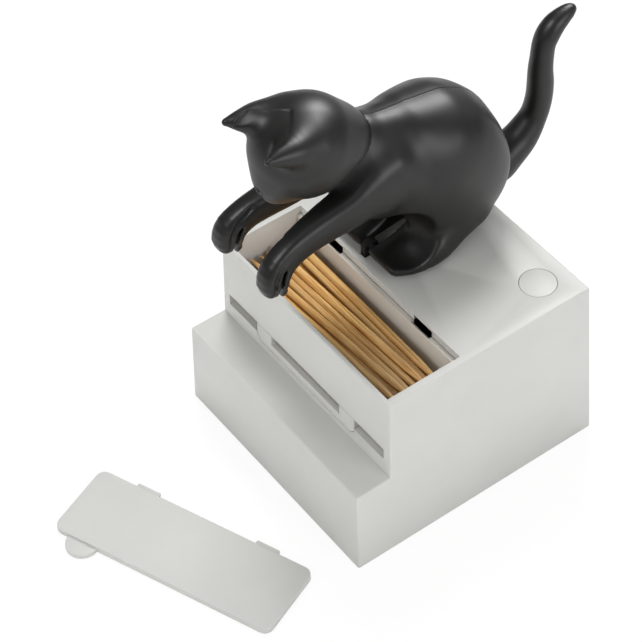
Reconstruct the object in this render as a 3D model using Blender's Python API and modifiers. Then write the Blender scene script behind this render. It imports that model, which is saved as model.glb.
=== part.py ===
"""Toothpick dispenser: a box with a toothpick bin, and a cat that pounces when the key is pressed.

Metres, +Z up. The origin is the centre of the base's underside. +X runs along the front
face to the right, +Y from the front to the back. The cat faces -Y.
"""
import math

import bmesh
import bpy
from mathutils import Matrix, Vector

for old in list(bpy.data.objects):
    bpy.data.objects.remove(old, do_unlink=True)

# The box.
deck_width = 0.072
deck_depth = 0.064
box_height = 0.054
draft = 0.0016
ledge_depth = 0.0108
ledge_drop = 0.0265
side_wall = 0.0023
bin_wall = 0.0011
deck_thickness = 0.0024
edge_radius = 0.0005
overrun = 0.002
gap = 0.0003
slide_gap = 0.00015
turn_gap = 0.00008

# The bin, its lid and the front face.
bin_depth = 0.0226
rabbet_depth = 0.0025
rabbet_width = 0.0014
liner_wall = 0.0011
bin_floor_rise = 0.0036
bin_floor_front_drop = 0.0166
window_top_drop = 0.0182
window_height = 0.0037
window_pocket = 0.0036
middle_window = 0.0298
tongue_post = 0.0063
tongue_bar = 0.0024
tongue_chamfer = 0.0015
lid_thickness = 0.002
lid_corner = 0.0025
lid_clearance = 0.0002
lid_tab_width = 0.007
lid_tab_reach = 0.0013
lid_tab_thickness = 0.0012
lid_tab_share = 0.28
notch_height = 0.003
notch_skin = 0.0007
notch_depth = 0.002
thumb_radius = 0.0046
thumb_share = 0.36
lid_floor_x = 0.0054
lid_floor_y = -0.0721
lid_floor_turn = math.radians(21.8)

# The base plate and its screws.
plate_thickness = 0.0024
post_radius = 0.0039
post_inset = 0.0036
rear_post_y = 0.012
screw_radius = 0.0011
screw_hole = 0.0014
head_radius = 0.0021
head_height = 0.001
head_recess = 0.0004
screw_reach = 0.0085
screw_room = 0.001

# The key, its stem, spring and guide.
button_inset_x = 0.0096
button_inset_y = 0.0091
button_radius = 0.0049
button_flange = 0.0064
flange_height = 0.0015
stem_radius = 0.002
guide_inner = 0.007
guide_wall = 0.0016
guide_reach = 0.0176
cup_floor = 0.0022
spring_radius = 0.0046
spring_wire = 0.0004
spring_turns = 6
steps_per_turn = 12

# The lever train.
lever_height = 0.0205
lever_width = 0.004
lever_thickness = 0.003
pad_radius = 0.002
hub_radius = 0.003
axle_radius = 0.001
lug_thickness = 0.002
lug_half_length = 0.0035
rod_radius = 0.002
rod_behind_pivot = 0.0068

# The bracket that carries the cat.
bracket_drop = 0.0042
bracket_thickness = 0.002
bracket_margin = 0.0035
boss_radius = 0.0028
boss_spread = 0.0125
lug_width = 0.0018
lug_half_depth = 0.0022

# The cat. Its tables are shares of cat_span; places are measured from the deck's front edge.
cat_span = 0.1
cat_x = -0.0091
pivot_behind_front = 0.028
pivot_height = 0.0024
pivot_pin_radius = 0.001
pivot_pin_half = 0.0098
sole_gap = 0.0003
toe_round = 0.0021
half_gap = 0.00015
head_gap = 0.0004
tail_gap = 0.00035
slit_width = 0.0013
slit_depth = 0.0042
heel_hole_radius = 0.0008
heel_hole_depth = 0.002
crotch_depth = 0.012
voxel = 0.0011

# The toothpicks.
pick_room = 0.0012
pick_radius = 0.001
pick_point = 0.009
pick_tip_share = 0.3
pick_layer = 0.00225

base_half_x = deck_width / 2 + draft
base_half_y = (deck_depth + 2 * draft + ledge_depth) / 2
deck_front = -base_half_y + draft + ledge_depth
deck_back = base_half_y - draft
ledge_z = box_height - ledge_drop
ledge_front = -base_half_y + draft * ledge_z / box_height
cavity_half_x = deck_width / 2 - side_wall
cavity_back = deck_back - side_wall
bin_front = deck_front + bin_wall
bin_back = bin_front + bin_depth
deck_under = box_height - deck_thickness
window_top = box_height - window_top_drop
window_bottom = window_top - window_height

parts = bpy.data.collections.new("toothpick_dispenser")
cutters = bpy.data.collections.new("cutters")
bpy.context.scene.collection.children.link(parts)
bpy.context.scene.collection.children.link(cutters)


def material(name, colour, roughness, metallic=0.0):
    made = bpy.data.materials.new(name)
    made.use_nodes = True
    shader = made.node_tree.nodes["Principled BSDF"]
    shader.inputs["Base Color"].default_value = (*colour, 1.0)
    shader.inputs["Roughness"].default_value = roughness
    shader.inputs["Metallic"].default_value = metallic
    return made


grey_shell = material("grey_shell_plastic", (0.6, 0.6, 0.58), 0.45)
grey_lid = material("grey_lid_plastic", (0.56, 0.56, 0.55), 0.45)
grey_key = material("grey_key_plastic", (0.6, 0.6, 0.58), 0.45)
grey_liner = material("grey_liner_plastic", (0.5, 0.49, 0.47), 0.5)
grey_base = material("grey_base_plastic", (0.5, 0.5, 0.49), 0.55)
black_cat = material("black_cat_plastic", (0.02, 0.02, 0.02), 0.35)
black_bracket = material("black_bracket_plastic", (0.025, 0.025, 0.025), 0.5)
white_lever = material("white_lever_plastic", (0.7, 0.7, 0.68), 0.5)
steel = material("bright_steel", (0.6, 0.6, 0.62), 0.3, 1.0)
birch = material("birch_wood", (0.62, 0.4, 0.2), 0.65)


def place(obj, look, cutter=False):
    """Link an object to its collection and give it its material."""
    (cutters if cutter else parts).objects.link(obj)
    if cutter:
        obj.hide_render = True
        obj.display_type = "WIRE"
    elif look:
        obj.data.materials.clear()
        obj.data.materials.append(look)
    return obj


def from_bmesh(name, bm, look=None, cutter=False):
    """Turn a bmesh into an object with its faces pointing out."""
    bmesh.ops.recalc_face_normals(bm, faces=bm.faces)
    mesh = bpy.data.meshes.new(name)
    bm.to_mesh(mesh)
    bm.free()
    return place(bpy.data.objects.new(name, mesh), look, cutter)


def box(name, x, y, z, look=None, cutter=False):
    """A box between the pairs of limits x, y and z."""
    bm = bmesh.new()
    bmesh.ops.create_cube(bm, size=1)
    size = Vector((x[1] - x[0], y[1] - y[0], z[1] - z[0]))
    middle = Vector((x[0] + x[1], y[0] + y[1], z[0] + z[1])) / 2
    bmesh.ops.transform(bm, matrix=Matrix.Translation(middle) @ Matrix.Diagonal((*size, 1)), verts=bm.verts)
    return from_bmesh(name, bm, look, cutter)


def rod(name, start, end, radius, look=None, cutter=False, sides=24, end_radius=None):
    """A cylinder or cone from start to end."""
    start, end = Vector(start), Vector(end)
    bm = bmesh.new()
    bmesh.ops.create_cone(bm, cap_ends=True, segments=sides, radius1=radius,
                          radius2=radius if end_radius is None else end_radius,
                          depth=(end - start).length)
    turn = (end - start).to_track_quat("Z", "Y").to_matrix().to_4x4()
    bmesh.ops.transform(bm, matrix=Matrix.Translation((start + end) / 2) @ turn, verts=bm.verts)
    return from_bmesh(name, bm, look, cutter)


def ball(name, centre, radii, look=None, cutter=False, rings=12):
    """An ellipsoid with the given half-sizes."""
    bm = bmesh.new()
    bmesh.ops.create_uvsphere(bm, u_segments=2 * rings, v_segments=rings, radius=1)
    bmesh.ops.transform(bm, matrix=Matrix.Translation(centre) @ Matrix.Diagonal((*radii, 1)), verts=bm.verts)
    return from_bmesh(name, bm, look, cutter)


def solid_curve(name, curve, matrix, look=None, cutter=False):
    """The welded mesh of a curve with filled caps."""
    guide = bpy.data.objects.new(name + "_curve", curve)
    cutters.objects.link(guide)
    guide.matrix_world = matrix
    bpy.context.view_layer.update()
    seen = guide.evaluated_get(bpy.context.evaluated_depsgraph_get())
    mesh = bpy.data.meshes.new_from_object(seen)
    mesh.transform(matrix)
    bpy.data.objects.remove(guide, do_unlink=True)
    bm = bmesh.new()
    bm.from_mesh(mesh)
    bpy.data.meshes.remove(mesh)
    bmesh.ops.remove_doubles(bm, verts=bm.verts, dist=overrun / 1000)
    return from_bmesh(name, bm, look, cutter)


def prism(name, outline, low, high, across="X", look=None, cutter=False):
    """A flat outline drawn out between low and high along X (outline in Y, Z) or Y (outline in X, Z)
    or Z (outline in X, Y)."""
    curve = bpy.data.curves.new(name, "CURVE")
    curve.dimensions = "2D"
    curve.fill_mode = "BOTH"
    curve.extrude = (high - low) / 2
    line = curve.splines.new("POLY")
    line.points.add(len(outline) - 1)
    line.use_cyclic_u = True
    for point, (u, v) in zip(line.points, outline):
        point.co = (u, v, 0, 1)
    middle = (low + high) / 2
    if across == "X":
        frame = Matrix(((0, 0, 1, middle), (1, 0, 0, 0), (0, 1, 0, 0), (0, 0, 0, 1)))
    elif across == "Y":
        frame = Matrix(((1, 0, 0, 0), (0, 0, -1, middle), (0, 1, 0, 0), (0, 0, 0, 1)))
    else:
        frame = Matrix.Translation((0, 0, middle))
    return solid_curve(name, curve, frame, look, cutter)


def tube(name, points, radii, look=None, cutter=False, resolution=3):
    """A round bar through points, with a radius at each point."""
    curve = bpy.data.curves.new(name, "CURVE")
    curve.dimensions = "3D"
    curve.bevel_depth = 1
    curve.bevel_resolution = resolution
    curve.use_fill_caps = True
    line = curve.splines.new("POLY")
    line.points.add(len(points) - 1)
    for point, place_, radius in zip(line.points, points, radii):
        point.co = (*place_, 1)
        point.radius = radius
    return solid_curve(name, curve, Matrix.Identity(4), look, cutter)


def cut(target, tool, how="DIFFERENCE"):
    """Put a Boolean on target; the tool becomes a hidden cutter."""
    if tool.name in parts.objects:
        parts.objects.unlink(tool)
        cutters.objects.link(tool)
        tool.hide_render = True
        tool.display_type = "WIRE"
    made = target.modifiers.new(tool.name[:50], "BOOLEAN")
    made.operation = how
    made.solver = "EXACT"
    made.object = tool
    return target


def freeze(obj):
    """Replace an object's mesh with its evaluated mesh, and drop its modifiers."""
    bpy.context.view_layer.update()
    seen = obj.evaluated_get(bpy.context.evaluated_depsgraph_get())
    mesh = bpy.data.meshes.new_from_object(seen)
    obj.modifiers.clear()
    obj.data = mesh
    return obj


def carve(target, tool):
    """Cut and freeze at once, so that each cut meets a finished mesh."""
    return freeze(cut(target, tool))


def smooth(obj, angle=math.radians(35)):
    obj.data.shade_smooth()
    obj.data.set_sharp_from_angle(angle=angle)
    return obj


def set_origin(obj, place_):
    """Move an object's origin without moving its shape."""
    shift = Vector(place_)
    obj.data.transform(Matrix.Translation(-shift))
    obj.location = shift
    return obj


# Housing: an L-shaped shell with drafted walls, open underneath.
def taper(obj):
    """Lean the side walls inward by the draft over the box's height."""
    for vertex in obj.data.vertices:
        vertex.co.x *= 1 - draft / base_half_x * vertex.co.z / box_height


def round_edges(obj, radius, wanted):
    """Round the edges for which wanted(edge) is true."""
    bm = bmesh.new()
    bm.from_mesh(obj.data)
    bmesh.ops.dissolve_limit(bm, angle_limit=math.radians(1), verts=bm.verts, edges=bm.edges)
    chosen = [edge for edge in bm.edges if wanted(edge)]
    bmesh.ops.bevel(bm, geom=chosen, offset=radius, segments=3, profile=0.5, affect="EDGES")
    bmesh.ops.recalc_face_normals(bm, faces=bm.faces)
    bm.to_mesh(obj.data)
    bm.free()


wall_foot = deck_front - draft * ledge_drop / box_height
outer = [(-base_half_y, 0), (base_half_y, 0), (deck_back, box_height), (deck_front, box_height),
         (wall_foot, ledge_z), (ledge_front, ledge_z)]
housing = prism("housing", outer, -base_half_x, base_half_x, "X", grey_shell)
taper(housing)


def outside_edge(edge):
    low = min(v.co.z for v in edge.verts)
    high = max(v.co.z for v in edge.verts)
    at_foot = all(abs(v.co.y - wall_foot) < gap and abs(v.co.z - ledge_z) < gap for v in edge.verts)
    return high > gap and not at_foot and (low > gap or high - low > gap)


round_edges(housing, edge_radius, outside_edge)
outer_skin = housing.copy()
outer_skin.data = housing.data.copy()
outer_skin.name = "outer_skin"
cutters.objects.link(outer_skin)
outer_skin.hide_render = True
outer_skin.display_type = "WIRE"

inner = [(ledge_front + side_wall, -overrun), (cavity_back, -overrun), (cavity_back, deck_under),
         (bin_back, deck_under), (bin_back, box_height + overrun), (bin_front, box_height + overrun),
         (bin_front, ledge_z - deck_thickness), (ledge_front + side_wall, ledge_z - deck_thickness)]
cut(housing, prism("cavity", inner, -cavity_half_x, cavity_half_x, "X", cutter=True))
cut(housing, box("window_band", (-cavity_half_x, cavity_half_x), (deck_front - overrun, bin_front + gap),
                 (window_bottom, window_top), cutter=True))


def tongue_outline(grow, top):
    """The U-shaped tongue's outer outline in X and Z, grown by a clearance."""
    half = middle_window / 2 + tongue_post + grow
    bottom = window_bottom - tongue_bar - grow
    return [(-half, top), (-half, bottom + tongue_chamfer), (-half + tongue_chamfer, bottom),
            (half - tongue_chamfer, bottom), (half, bottom + tongue_chamfer), (half, top)]


cut(housing, prism("tongue_slot", tongue_outline(gap / 2, window_bottom + gap), deck_front - overrun,
                   bin_front + gap, "Y", cutter=True))
freeze(housing)

# The notches in the deck's edge take the lid's tabs.
bin_width = 2 * cavity_half_x
lid_length = bin_width - 2 * lid_clearance
notch_x = lid_tab_share * lid_length
notch_half = lid_tab_width / 2 + lid_clearance
notch_z = (box_height - notch_skin - notch_height, box_height - notch_skin)
for side in (-1, 1):
    x_pair = (side * notch_x - notch_half, side * notch_x + notch_half)
    cut(housing, box("lid_notch", x_pair, (bin_back - gap, bin_back + notch_depth), notch_z, cutter=True))

# Screw posts, the key's guide tube and hole, and the seats under the liner.
button_x = deck_width / 2 - button_inset_x
button_y = deck_back - button_inset_y
post_front_y = ledge_front + side_wall + post_inset
post_back_y = cavity_back - post_inset
post_x = cavity_half_x - post_inset
posts = [(-post_x, post_front_y, ledge_z - deck_thickness), (post_x, post_front_y, ledge_z - deck_thickness),
         (-post_x, post_back_y, deck_under), (post_x, rear_post_y, deck_under)]
post_foot = plate_thickness + gap
for x, y, top in posts:
    cut(housing, rod("post", (x, y, post_foot), (x, y, top + gap), post_radius, cutter=True), "UNION")
guide_foot = deck_under - guide_reach
cut(housing, rod("guide", (button_x, button_y, guide_foot), (button_x, button_y, deck_under + gap),
                 guide_inner + guide_wall, cutter=True, sides=48), "UNION")
pivot_y = deck_front + pivot_behind_front
pivot_z = box_height + pivot_height
rod_x = cat_x + rod_behind_pivot + stem_radius - gap
rod_y = pivot_y + rod_behind_pivot
bracket_z = deck_under - bracket_drop
boss_y = pivot_y + bracket_drop
for side in (-1, 1):
    boss_x = cat_x + bracket_margin + side * boss_spread
    cut(housing, rod("boss", (boss_x, boss_y, bracket_z + gap), (boss_x, boss_y, deck_under + gap),
                     boss_radius, cutter=True), "UNION")
seat_y = bin_front + bin_depth / 2
floor_slope = bin_floor_rise / bin_depth
floor_front_z = box_height - bin_floor_front_drop
seat_top = window_top + gap
for side in (-1, 1):
    x_pair = sorted((side * (cavity_half_x - 2 * liner_wall), side * (cavity_half_x + gap)))
    cut(housing, box("liner_seat", x_pair, (seat_y, seat_y + lever_width),
                     (seat_top - lever_width, seat_top), cutter=True), "UNION")
freeze(housing)
for x, y, top in posts:
    cut(housing, rod("post_hole", (x, y, post_foot - overrun), (x, y, post_foot + screw_reach), screw_hole,
                     cutter=True, sides=16))
cut(housing, rod("guide_bore", (button_x, button_y, guide_foot - overrun), (button_x, button_y, deck_under),
                 guide_inner, cutter=True, sides=48))
cut(housing, rod("key_hole", (button_x, button_y, guide_foot), (button_x, button_y, box_height + overrun),
                 button_radius + slide_gap, cutter=True, sides=48))
for side in (-1, 1):
    boss_x = cat_x + bracket_margin + side * boss_spread
    cut(housing, rod("boss_hole", (boss_x, boss_y, bracket_z - overrun),
                     (boss_x, boss_y, bracket_z + bracket_drop), screw_hole, cutter=True, sides=16))
cut(housing, rod("rod_hole", (rod_x, rod_y, deck_under - overrun), (rod_x, rod_y, box_height + overrun),
                 rod_radius + slide_gap, cutter=True))
cut(housing, box("lug_slot", (cat_x - lug_width / 2 - gap, cat_x + lug_width / 2 + gap),
                 (pivot_y - lug_half_depth - gap, pivot_y + lug_half_depth + gap),
                 (deck_under - overrun, box_height + overrun), cutter=True))
freeze(housing)
smooth(housing)

# Hopper liner: the bin's back wall and floor, and the sloped face behind the windows.
liner_back = bin_back - gap
liner_inner = bin_back - rabbet_width
liner_front = bin_front + gap
rim_z = box_height - rabbet_depth
floor_back_z = floor_front_z + floor_slope * (liner_inner - bin_front)
chute_foot = window_bottom - tongue_bar
liner_outline = [
    (liner_back, rim_z), (liner_inner, rim_z), (liner_inner, floor_back_z), (liner_front, floor_front_z),
    (liner_front, window_top + gap), (bin_front + window_pocket, window_top + gap),
    (liner_front, window_bottom - gap), (liner_front, chute_foot),
    (bin_front + window_pocket / 2, chute_foot),
    (bin_front + window_pocket + 2 * liner_wall, window_top + gap - 2 * liner_wall * floor_slope),
    (seat_y, seat_top + gap), (liner_back, floor_back_z - 2 * liner_wall)]
liner_half = cavity_half_x - gap
liner = prism("hopper_liner", liner_outline, -liner_half, liner_half, "X", grey_liner)
for side in (-1, 1):
    x_pair = (side * notch_x - notch_half, side * notch_x + notch_half)
    cut(liner, box("rabbet_notch", x_pair, (liner_inner + gap, liner_back + gap),
                   (notch_z[0] - gap, rim_z + overrun), cutter=True))
freeze(liner)

# Front gate: the U-shaped tongue, cut from the box's own skin, hung along the windows' top.
hinge_z = window_top - gap / 2
gate = prism("front_gate", tongue_outline(0, window_top - gap), deck_front - overrun, bin_front, "Y", grey_shell)
cut(gate, box("gate_window", (-middle_window / 2, middle_window / 2),
              (deck_front - 2 * overrun, bin_front + overrun), (window_bottom, window_top + overrun),
              cutter=True))
cut(gate, outer_skin, "INTERSECT")
freeze(gate)
hinge_y = deck_front - draft * window_top_drop / box_height + gap
set_origin(gate, (0, hinge_y, hinge_z))

# Lid: a rounded plate with two tabs on its back edge and a half-round thumb tab on its front edge.
lid_width = bin_depth - 2 * lid_clearance


def rounded_outline(half_x, half_y, radius, steps=4):
    """A rectangle with round corners, anticlockwise."""
    points = []
    for index, (sx, sy) in enumerate(((1, 1), (-1, 1), (-1, -1), (1, -1))):
        for step in range(steps + 1):
            angle = math.pi / 2 * (index + step / steps)
            points.append((sx * (half_x - radius) + radius * math.cos(angle),
                           sy * (half_y - radius) + radius * math.sin(angle)))
    return points


lid = prism("bin_lid", rounded_outline(lid_length / 2, lid_width / 2, lid_corner), 0, lid_thickness, "Z", grey_lid)
tab_low = (lid_thickness - lid_tab_thickness) / 2
for side in (-1, 1):
    cut(lid, box("lid_tab", (side * notch_x - lid_tab_width / 2, side * notch_x + lid_tab_width / 2),
                 (lid_width / 2 - overrun, lid_width / 2 + lid_tab_reach),
                 (tab_low, tab_low + lid_tab_thickness), cutter=True), "UNION")
thumb_x = -thumb_share * lid_length
thumb_y = -lid_width / 2
cut(lid, rod("thumb_tab", (thumb_x, thumb_y, 0), (thumb_x, thumb_y, lid_tab_thickness), thumb_radius,
             cutter=True, sides=32), "UNION")
freeze(lid)
lid.rotation_euler = (0, 0, lid_floor_turn)
lid.location = (lid_floor_x, lid_floor_y, 0)

# Base plate: closes the box, and carries the lever's two lugs.
base = prism("base_plate", [(-liner_half, ledge_front + side_wall + gap), (liner_half, ledge_front + side_wall + gap),
                            (liner_half, cavity_back - gap), (-liner_half, cavity_back - gap)],
             0, plate_thickness, "Z", grey_base)
lever_half = Vector((button_x - rod_x, button_y - rod_y, 0)).length / 2
lever_x = (button_x + rod_x) / 2
lever_y = (button_y + rod_y) / 2
lever_turn = math.atan2(button_y - rod_y, button_x - rod_x)
lever_frame = Matrix.Translation((lever_x, lever_y, 0)) @ Matrix.Rotation(lever_turn, 4, "Z")
lug_start = lever_width / 2 + gap
lug_end = lug_start + lug_thickness
lug_top = lever_height + lug_half_length
for side in (-1, 1):
    y_pair = sorted((side * lug_start, side * lug_end))
    lug = box("lever_lug", (-lug_half_length, lug_half_length), y_pair, (plate_thickness - gap, lug_top), cutter=True)
    lug.data.transform(lever_frame)
    cut(base, lug, "UNION")
freeze(base)
axle_hole = rod("lug_hole", (0, -lug_end - overrun, lever_height), (0, lug_end + overrun, lever_height),
                axle_radius + turn_gap, cutter=True)
axle_hole.data.transform(lever_frame)
cut(base, axle_hole)
head_top = head_recess + head_height
for x, y, top in posts:
    cut(base, rod("plate_hole", (x, y, -overrun), (x, y, plate_thickness + overrun), screw_hole,
                  cutter=True, sides=16))
    cut(base, rod("head_hole", (x, y, -overrun), (x, y, head_top + gap), head_radius + gap, cutter=True, sides=16))
freeze(base)


def screw(name, x, y, low, reach):
    """A pan-head screw driven upwards, with a cross recess left plain."""
    made = rod(name, (x, y, low), (x, y, low + head_height), head_radius, steel, sides=16)
    shank = rod(name + "_shank", (x, y, low + head_height / 2), (x, y, low + head_height + reach), screw_radius,
                cutter=True, sides=12)
    cut(made, shank, "UNION")
    freeze(made)
    return smooth(made)


for number, (x, y, top) in enumerate(posts, 1):
    screw("base_screw_%d" % number, x, y, head_recess, screw_reach - screw_room)

# Key: cap flush with the deck, flange that stops it under the deck, and a long stem.
flange_top = deck_under - gap
flange_low = flange_top - flange_height
pad_top = lever_height + lever_thickness / 2 + gap
stem_foot = pad_top + gap
button = rod("push_button", (0, 0, flange_low + flange_height / 2), (0, 0, box_height), button_radius, grey_key,
             sides=48)
cut(button, rod("key_flange", (0, 0, flange_low), (0, 0, flange_top), button_flange, cutter=True, sides=48), "UNION")
cut(button, rod("key_stem", (0, 0, stem_foot), (0, 0, flange_low + gap), stem_radius, cutter=True), "UNION")
freeze(button)
smooth(button)
button.location = (button_x, button_y, 0)

# Spring cup: a plug pressed into the guide tube, which guides the stem and carries the spring.
cup_top = guide_foot + cup_floor
cup = rod("spring_cup", (0, 0, guide_foot), (0, 0, cup_top), guide_inner - gap, grey_base, sides=48)
cut(cup, rod("cup_bore", (0, 0, guide_foot - overrun), (0, 0, cup_top + overrun), stem_radius + slide_gap,
             cutter=True))
freeze(cup)
smooth(cup)
cup.location = (button_x, button_y, 0)

# Key spring: a helix whose height grows evenly with its angle.
spring_low = cup_top + gap + spring_wire
spring_high = flange_low - gap - spring_wire
coil = []
for step in range(spring_turns * steps_per_turn + 1):
    share = step / (spring_turns * steps_per_turn)
    angle = 2 * math.pi * spring_turns * share
    coil.append((button_x + spring_radius * math.cos(angle), button_y + spring_radius * math.sin(angle),
                 spring_low + (spring_high - spring_low) * share))
spring = tube("button_spring", coil, [spring_wire] * len(coil), steel, resolution=1)
smooth(spring, math.radians(80))

# Lever: a bar on an axle, with a round pad at each end.
lever = box("rocker_lever", (-lever_half, lever_half), (-lever_width / 2, lever_width / 2),
            (-lever_thickness / 2, lever_thickness / 2), white_lever)
for side in (-1, 1):
    cut(lever, ball("lever_pad", (side * lever_half, 0, lever_thickness / 2 + gap - pad_radius),
                    (pad_radius, pad_radius, pad_radius), cutter=True, rings=6), "UNION")
cut(lever, rod("lever_hub", (0, -lever_width / 2, 0), (0, lever_width / 2, 0), hub_radius, cutter=True), "UNION")
freeze(lever)
cut(lever, rod("lever_bore", (0, -lever_width, 0), (0, lever_width, 0), axle_radius + turn_gap, cutter=True))
freeze(lever)
lever.matrix_world = lever_frame @ Matrix.Translation((0, 0, lever_height))
axle = rod("rocker_axle", (0, -lug_end, 0), (0, lug_end, 0), axle_radius, steel)
smooth(axle)
axle.matrix_world = lever_frame @ Matrix.Translation((0, 0, lever_height))

# Lift rod: stands on the lever's front pad and ends in a dome under the cat's near heel.
rod_top = box_height + sole_gap - gap - rod_radius
lift = rod("lift_rod", (0, 0, stem_foot), (0, 0, rod_top), rod_radius, steel)
cut(lift, ball("rod_dome", (0, 0, rod_top), (rod_radius - turn_gap,) * 2 + (rod_radius,), cutter=True), "UNION")
freeze(lift)
smooth(lift)
lift.location = (rod_x, rod_y, 0)

# Pivot bracket: a plate under the deck, with a lug up through the deck between the cat's feet.
bracket_x = cat_x + bracket_margin
plate_half = boss_spread + boss_radius
bracket = box("pivot_bracket", (bracket_x - plate_half, bracket_x + plate_half),
              (pivot_y - lug_half_depth, rod_y + 2 * rod_radius),
              (bracket_z - bracket_thickness, bracket_z), black_bracket)
cut(bracket, box("bracket_lug", (cat_x - lug_width / 2, cat_x + lug_width / 2),
                 (pivot_y - lug_half_depth, pivot_y + lug_half_depth), (bracket_z - gap, pivot_z), cutter=True), "UNION")
cut(bracket, rod("lug_round", (cat_x - lug_width / 2, pivot_y, pivot_z), (cat_x + lug_width / 2, pivot_y, pivot_z),
                 lug_half_depth, cutter=True), "UNION")
freeze(bracket)
cut(bracket, rod("lug_bore", (cat_x - lug_width, pivot_y, pivot_z), (cat_x + lug_width, pivot_y, pivot_z),
                 pivot_pin_radius + turn_gap, cutter=True))
cut(bracket, rod("rod_guide", (rod_x, rod_y, bracket_z - bracket_thickness - overrun),
                 (rod_x, rod_y, bracket_z + overrun), rod_radius + slide_gap, cutter=True))
for side in (-1, 1):
    x = bracket_x + side * boss_spread
    cut(bracket, rod("bracket_hole", (x, boss_y, bracket_z - bracket_thickness - overrun),
                     (x, boss_y, bracket_z + overrun), screw_hole, cutter=True, sides=16))
freeze(bracket)
for number, side in enumerate((-1, 1), 1):
    x = bracket_x + side * boss_spread
    screw("bracket_screw_%d" % number, x, boss_y, bracket_z - bracket_thickness - gap - head_height,
          bracket_thickness + bracket_drop - screw_room)


# The cat: lofts and ellipsoids, melted into one skin, then cut where its pieces meet.
def cat_point(off, y, z):
    """A place on the cat from shares of cat_span: off the middle plane, behind the front edge, above the deck."""
    return Vector((cat_x + off * cat_span, deck_front + y * cat_span, box_height + z * cat_span))


def loft(bm, rows, side=1, egg_share=0.0, sides=20, corner_power=1.0):
    """Add a closed loft through elliptical rings; a corner_power under 1 squares them.

    Each row is off, y, z, half_height, half_width in shares; each ring stands square to the path
    in the YZ plane. egg_share narrows the upper half of each ring.
    """
    rings = []
    for index, (off, y, z, high, wide) in enumerate(rows):
        before = rows[max(index - 1, 0)]
        after = rows[min(index + 1, len(rows) - 1)]
        along = Vector((0, after[1] - before[1], after[2] - before[2])).normalized()
        up = Vector((0, -along.z, along.y))
        centre = cat_point(side * off, y, z)
        ring = []
        for step in range(sides):
            angle = 2 * math.pi * step / sides
            sine = math.copysign(abs(math.sin(angle)) ** corner_power, math.sin(angle))
            cosine = math.copysign(abs(math.cos(angle)) ** corner_power, math.cos(angle))
            width = wide * cat_span * sine * (1 - egg_share * cosine)
            ring.append(bm.verts.new(centre + up * high * cat_span * cosine + Vector((width, 0, 0))))
        rings.append(ring)
    for first, second in zip(rings, rings[1:]):
        for step in range(sides):
            after = (step + 1) % sides
            bm.faces.new((first[step], first[after], second[after], second[step]))
    bm.faces.new(rings[0])
    bm.faces.new(list(reversed(rings[-1])))


def add_ball(bm, off, y, z, radii, grow=0.0):
    """Add an ellipsoid whose half-sizes are shares of cat_span."""
    made = bmesh.ops.create_uvsphere(bm, u_segments=24, v_segments=14, radius=1)
    size = [radius * cat_span + grow for radius in radii]
    bmesh.ops.transform(bm, matrix=Matrix.Translation(cat_point(off, y, z)) @ Matrix.Diagonal((*size, 1)),
                        verts=made["verts"])


def melt(name, bm, faces_share, look=None, cutter=False, rounds=3):
    """Melt overlapping bodies into one smooth skin and thin its faces."""
    made = from_bmesh(name, bm, look, cutter)
    skin = made.modifiers.new("melt", "REMESH")
    skin.mode = "VOXEL"
    skin.voxel_size = voxel
    soften = made.modifiers.new("soften", "SMOOTH")
    soften.factor = 0.5
    soften.iterations = rounds
    thin = made.modifiers.new("thin", "DECIMATE")
    thin.ratio = faces_share
    return freeze(made)


# Rows: off, y, z, half_height, half_width shares.
torso_shares = [
    (0, 0.121, 0.360, 0.146, 0.063), (0, 0.200, 0.336, 0.174, 0.090), (0, 0.303, 0.315, 0.159, 0.105),
    (0, 0.394, 0.307, 0.155, 0.144), (0, 0.468, 0.295, 0.151, 0.148), (0, 0.520, 0.259, 0.144, 0.139),
    (0, 0.548, 0.210, 0.127, 0.126), (0, 0.562, 0.141, 0.102, 0.104), (0, 0.569, 0.071, 0.068, 0.073)]
foot_shares = [
    (0.069, 0.257, 0.020, 0.014, 0.056), (0.069, 0.272, 0.022, 0.021, 0.062), (0.075, 0.305, 0.024, 0.025, 0.071),
    (0.081, 0.352, 0.030, 0.033, 0.074), (0.083, 0.404, 0.047, 0.049, 0.072), (0.077, 0.465, 0.070, 0.065, 0.068),
    (0.073, 0.516, 0.087, 0.075, 0.061)]
foreleg_shares = [
    (0.0759, 0.2889, 0.3391, 0.062, 0.0467), (0.0812, 0.2172, 0.3218, 0.064, 0.0497),
    (0.0832, 0.1581, 0.3055, 0.0558, 0.0465), (0.0808, 0.0895, 0.2920, 0.049, 0.0409),
    (0.0839, 0.0218, 0.2803, 0.0442, 0.0348), (0.0895, -0.0300, 0.2664, 0.0423, 0.0324),
    (0.0943, -0.0694, 0.2420, 0.0426, 0.0336), (0.0965, -0.0835, 0.2098, 0.0399, 0.0348),
    (0.0972, -0.0755, 0.1891, 0.0357, 0.0275), (0.0974, -0.0698, 0.1727, 0.0201, 0.0205),
    (0.0974, -0.0680, 0.1560, 0.0120, 0.0120)]


def head_form(bm, grow=0.0):
    """Skull, nape, muzzle and jaw as overlapping ellipsoids."""
    add_ball(bm, 0, 0.092, 0.496, (0.129, 0.141, 0.132), grow)
    add_ball(bm, 0, 0.166, 0.480, (0.107, 0.102, 0.074), grow)
    add_ball(bm, 0, 0.021, 0.446, (0.057, 0.067, 0.051), grow)
    add_ball(bm, 0, 0.036, 0.414, (0.046, 0.076, 0.065), grow)


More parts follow.
